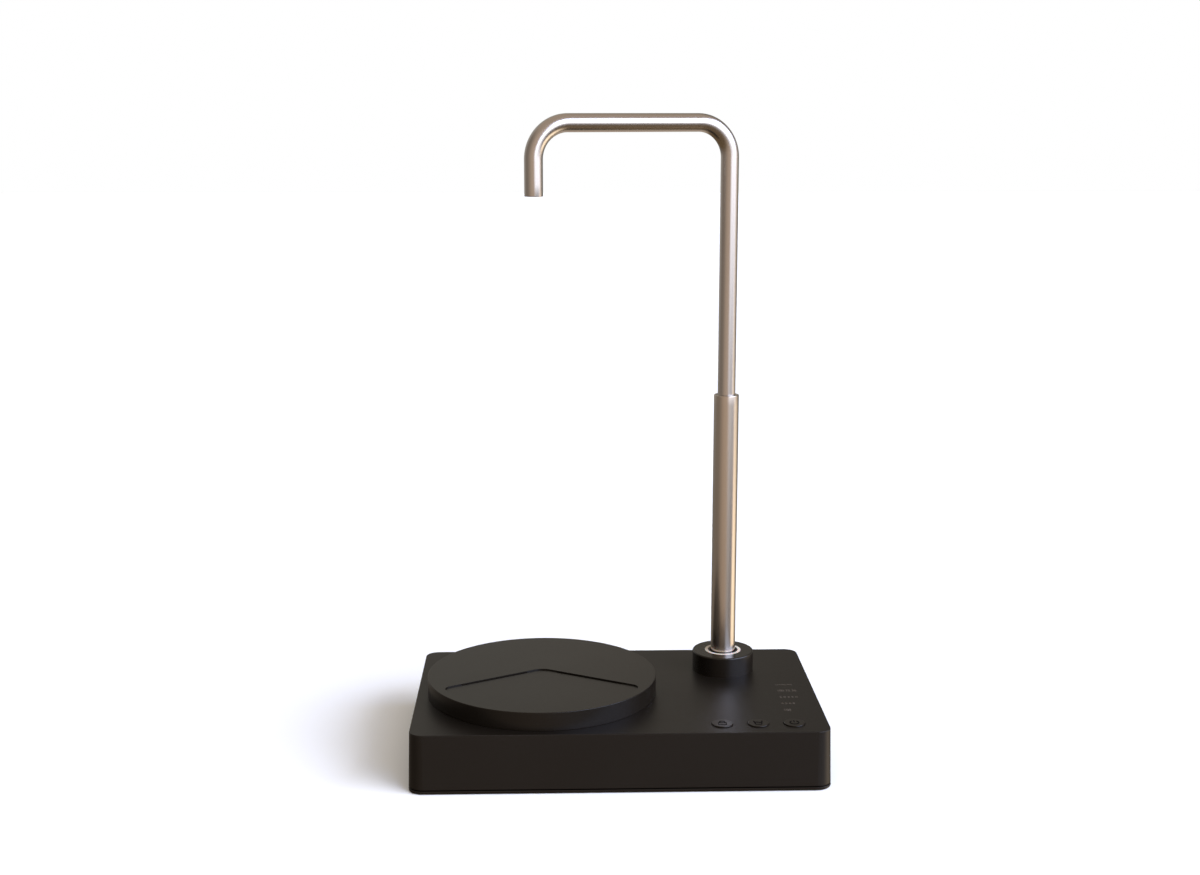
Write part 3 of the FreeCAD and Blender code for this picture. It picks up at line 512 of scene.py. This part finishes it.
def build_print():
    """Small raised numerals in rows on the right of the top face."""
    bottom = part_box("top_housing")[1].z - PRINT_SUNK
    for i, (text, x, y, length, height) in enumerate(PRINT_ROWS):
        mesh = text_mesh(text)
        xs = [v.co.x for v in mesh.vertices]
        ys = [v.co.y for v in mesh.vertices]
        left, near = min(xs), min(ys)
        scale_x = length * MM / (max(xs) - left)
        scale_y = height * MM / (max(ys) - near)
        for v in mesh.vertices:
            v.co = Vector((x * MM + (v.co.x - left) * scale_x, y * MM + (v.co.y - near) * scale_y,
                           bottom + (v.co.z + 0.5) * PRINT_DEPTH))
        made = link(bpy.data.objects.new("print_row_%d" % (i + 1), mesh))
        mesh.name = made.name
        mesh.materials.clear()
        mesh.materials.append(MATERIALS["print"])
        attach(made, "base")


# ---------------------------------------------------------------- floor, light and camera
FLOOR_SIZE, FLOOR_DROP = 12, 0.05 * MM
FLOOR_COLOR = (0.79, 0.88, 0.98, 1)
SUN_COLOR = (1.0, 0.86, 0.70)
# name, direction towards it, strength, width in degrees
SUNS = (
    ("key", (0.80, -0.46, 0.36), 3.2, 50),
    ("fill", (0.1, -0.8, 0.8), 1.3, 90),
)
# each colour takes over between two azimuths: 0 is at the user, 90 on the right, 180 behind
WALLS = (
    (-130.0, -100.0, (0.25, 0.205, 0.17)),
    (-80.0, -8.0, (0.58, 0.445, 0.345)),
    (60.0, 80.0, (0.72, 0.59, 0.49)),
    (94.0, 130.0, (0.20, 0.185, 0.16)),
    (168.0, 182.0, (0.485, 0.44, 0.375)),
)
BACK_LOW, BACK_HIGH = (0.22, 0.21, 0.19), (0.42, 0.40, 0.35)
BACK_LEFT_LOW, BACK_LEFT_HIGH = (0.20, 0.185, 0.165), (0.43, 0.40, 0.365)
CEILING = (0.47, 0.37, 0.29)
UNDER_BOX_LEFT, UNDER_BOX_RIGHT = (0.36, 0.33, 0.31), (0.17, 0.155, 0.15)
GROUND, GROUND_BEHIND = (0.15, 0.10, 0.055), (0.55, 0.45, 0.36)
BOX_LOW, BOX_HIGH = (2.20, 2.18, 2.34), (4.40, 5.00, 7.00)
BOUNCE = (1.95, 1.56, 1.14)
CAMERA_AT, CAMERA_AIM = (-0.03106, -0.80462, 0.31567), (-0.00811, 0, 0.15932)


def build_floor():
    """Pale floor that only the camera sees, and not from below."""
    bpy.ops.mesh.primitive_plane_add(size=FLOOR_SIZE, location=(0, 0, -FLOOR_DROP))
    floor = bpy.context.object
    floor.name = "floor"
    made, g = new_material("pale floor")
    diffuse = g.node("ShaderNodeBsdfDiffuse")
    diffuse.inputs["Color"].default_value = FLOOR_COLOR
    below = g.node("ShaderNodeNewGeometry").outputs["Backfacing"]
    clear = g.node("ShaderNodeBsdfTransparent").outputs[0]
    surface = g.fill(g.node("ShaderNodeMixShader"), below, diffuse.outputs[0], clear)
    g.put(g.node("ShaderNodeOutputMaterial").inputs["Surface"], surface)
    floor.data.materials.append(made)
    floor.visible_glossy = False
    floor.visible_diffuse = False
    floor.visible_shadow = False


def build_world():
    """Studio with tan walls, a large bluish softbox at the front right and a warm bounce low on the
    right. The camera itself sees plain white. Angles are in degrees."""
    world = bpy.data.worlds.new("studio")
    bpy.context.scene.world = world
    world.use_nodes = True
    g = Graph(world.node_tree)
    split = g.node("ShaderNodeSeparateXYZ")
    g.put(split.inputs[0], g.node("ShaderNodeTexCoord").outputs["Generated"])
    x, y, z = split.outputs
    degree = 180 / math.pi
    az = g.times(g.math("ARCTAN2", x, g.times(y, -1.0)), degree)
    el = g.times(g.math("ARCSINE", z), degree)

    def window(value, low, high, soft_low, soft_high):
        """One between low and high, with soft ends."""
        rise = g.step(value, low - soft_low, low + soft_low)
        fall = g.step(value, high - soft_high, high + soft_high, 1.0, 0.0)
        return g.times(rise, fall)

    back = g.mix(g.step(el, -20.0, 0.0), BACK_LOW, BACK_HIGH)
    back_left = g.mix(g.step(el, -15.0, -3.0), BACK_LEFT_LOW, BACK_LEFT_HIGH)
    wall = g.mix(g.step(az, -178.0, -150.0), back, back_left)
    for start, end, color in WALLS:
        wall = g.mix(g.step(az, start, end), wall, color)
    wall = g.mix(g.step(el, 32.0, 62.0), wall, CEILING)

    dim = g.mix(g.step(az, 32.0, 52.0), UNDER_BOX_LEFT, UNDER_BOX_RIGHT)
    under_box = g.mix(window(az, 18.0, 74.0, 10.0, 5.0), wall, dim)
    low = g.mix(g.step(el, -10.0, 2.0), under_box, wall)
    far_side = g.math("MAXIMUM", g.step(az, 105.0, 150.0), g.step(az, -178.0, -168.0, 1.0, 0.0))
    far_ground = g.times(far_side, g.step(el, -84.0, -52.0))
    room = g.mix(g.step(el, -34.0, -10.0), g.mix(far_ground, GROUND, GROUND_BEHIND), low)

    turned = g.math("SUBTRACT", az, g.step(el, 4.0, 18.0, 0.0, 10.0))
    sides = g.times(g.step(turned, 5.0, 21.0), g.step(turned, 71.0, 101.0, 1.0, 0.0))
    box = g.times(sides, window(el, -4.6, 42.0, 7.5, 6.0))
    with_box = g.mix(box, room, g.mix(g.step(el, 5.0, 19.0), BOX_LOW, BOX_HIGH))
    bounce = g.times(window(az, 73.0, 114.0, 6.0, 12.0), window(el, -50.0, -11.5, 12.0, 3.5))

    lit = g.fill(g.node("ShaderNodeBackground"), g.mix(bounce, with_box, BOUNCE))
    seen = g.fill(g.node("ShaderNodeBackground"), (1, 1, 1, 1))
    camera = g.node("ShaderNodeLightPath").outputs["Is Camera Ray"]
    surface = g.fill(g.node("ShaderNodeMixShader"), camera, lit, seen)
    g.put(g.node("ShaderNodeOutputWorld").inputs["Surface"], surface)


def build_light():
    """Two soft suns for the floor's shadow. They don't show in the gloss of the object."""
    for name, towards, energy, width in SUNS:
        sun = bpy.data.lights.new(name, "SUN")
        sun.energy = energy
        sun.angle = math.radians(width)
        sun.color = SUN_COLOR
        made = link(bpy.data.objects.new(name, sun))
        made.rotation_euler = Vector(towards).to_track_quat("Z", "Y").to_euler()
        made.visible_glossy = False


def build_camera():
    data = bpy.data.cameras.new("camera")
    data.lens = 50
    data.sensor_width = 36
    data.clip_start, data.clip_end = 0.01, 100
    made = link(bpy.data.objects.new("camera", data))
    made.location = CAMERA_AT
    aim = Vector(CAMERA_AIM) - made.location
    made.rotation_mode = "QUATERNION"
    made.rotation_quaternion = aim.to_track_quat("-Z", "Y")
    bpy.context.scene.camera = made


dress_cad_nodes()
build_tubes()
build_symbols()
build_print()
build_floor()
build_world()
build_light()
build_camera()
bpy.context.scene.view_settings.view_transform = "Standard"

bpy.context.view_layer.update()
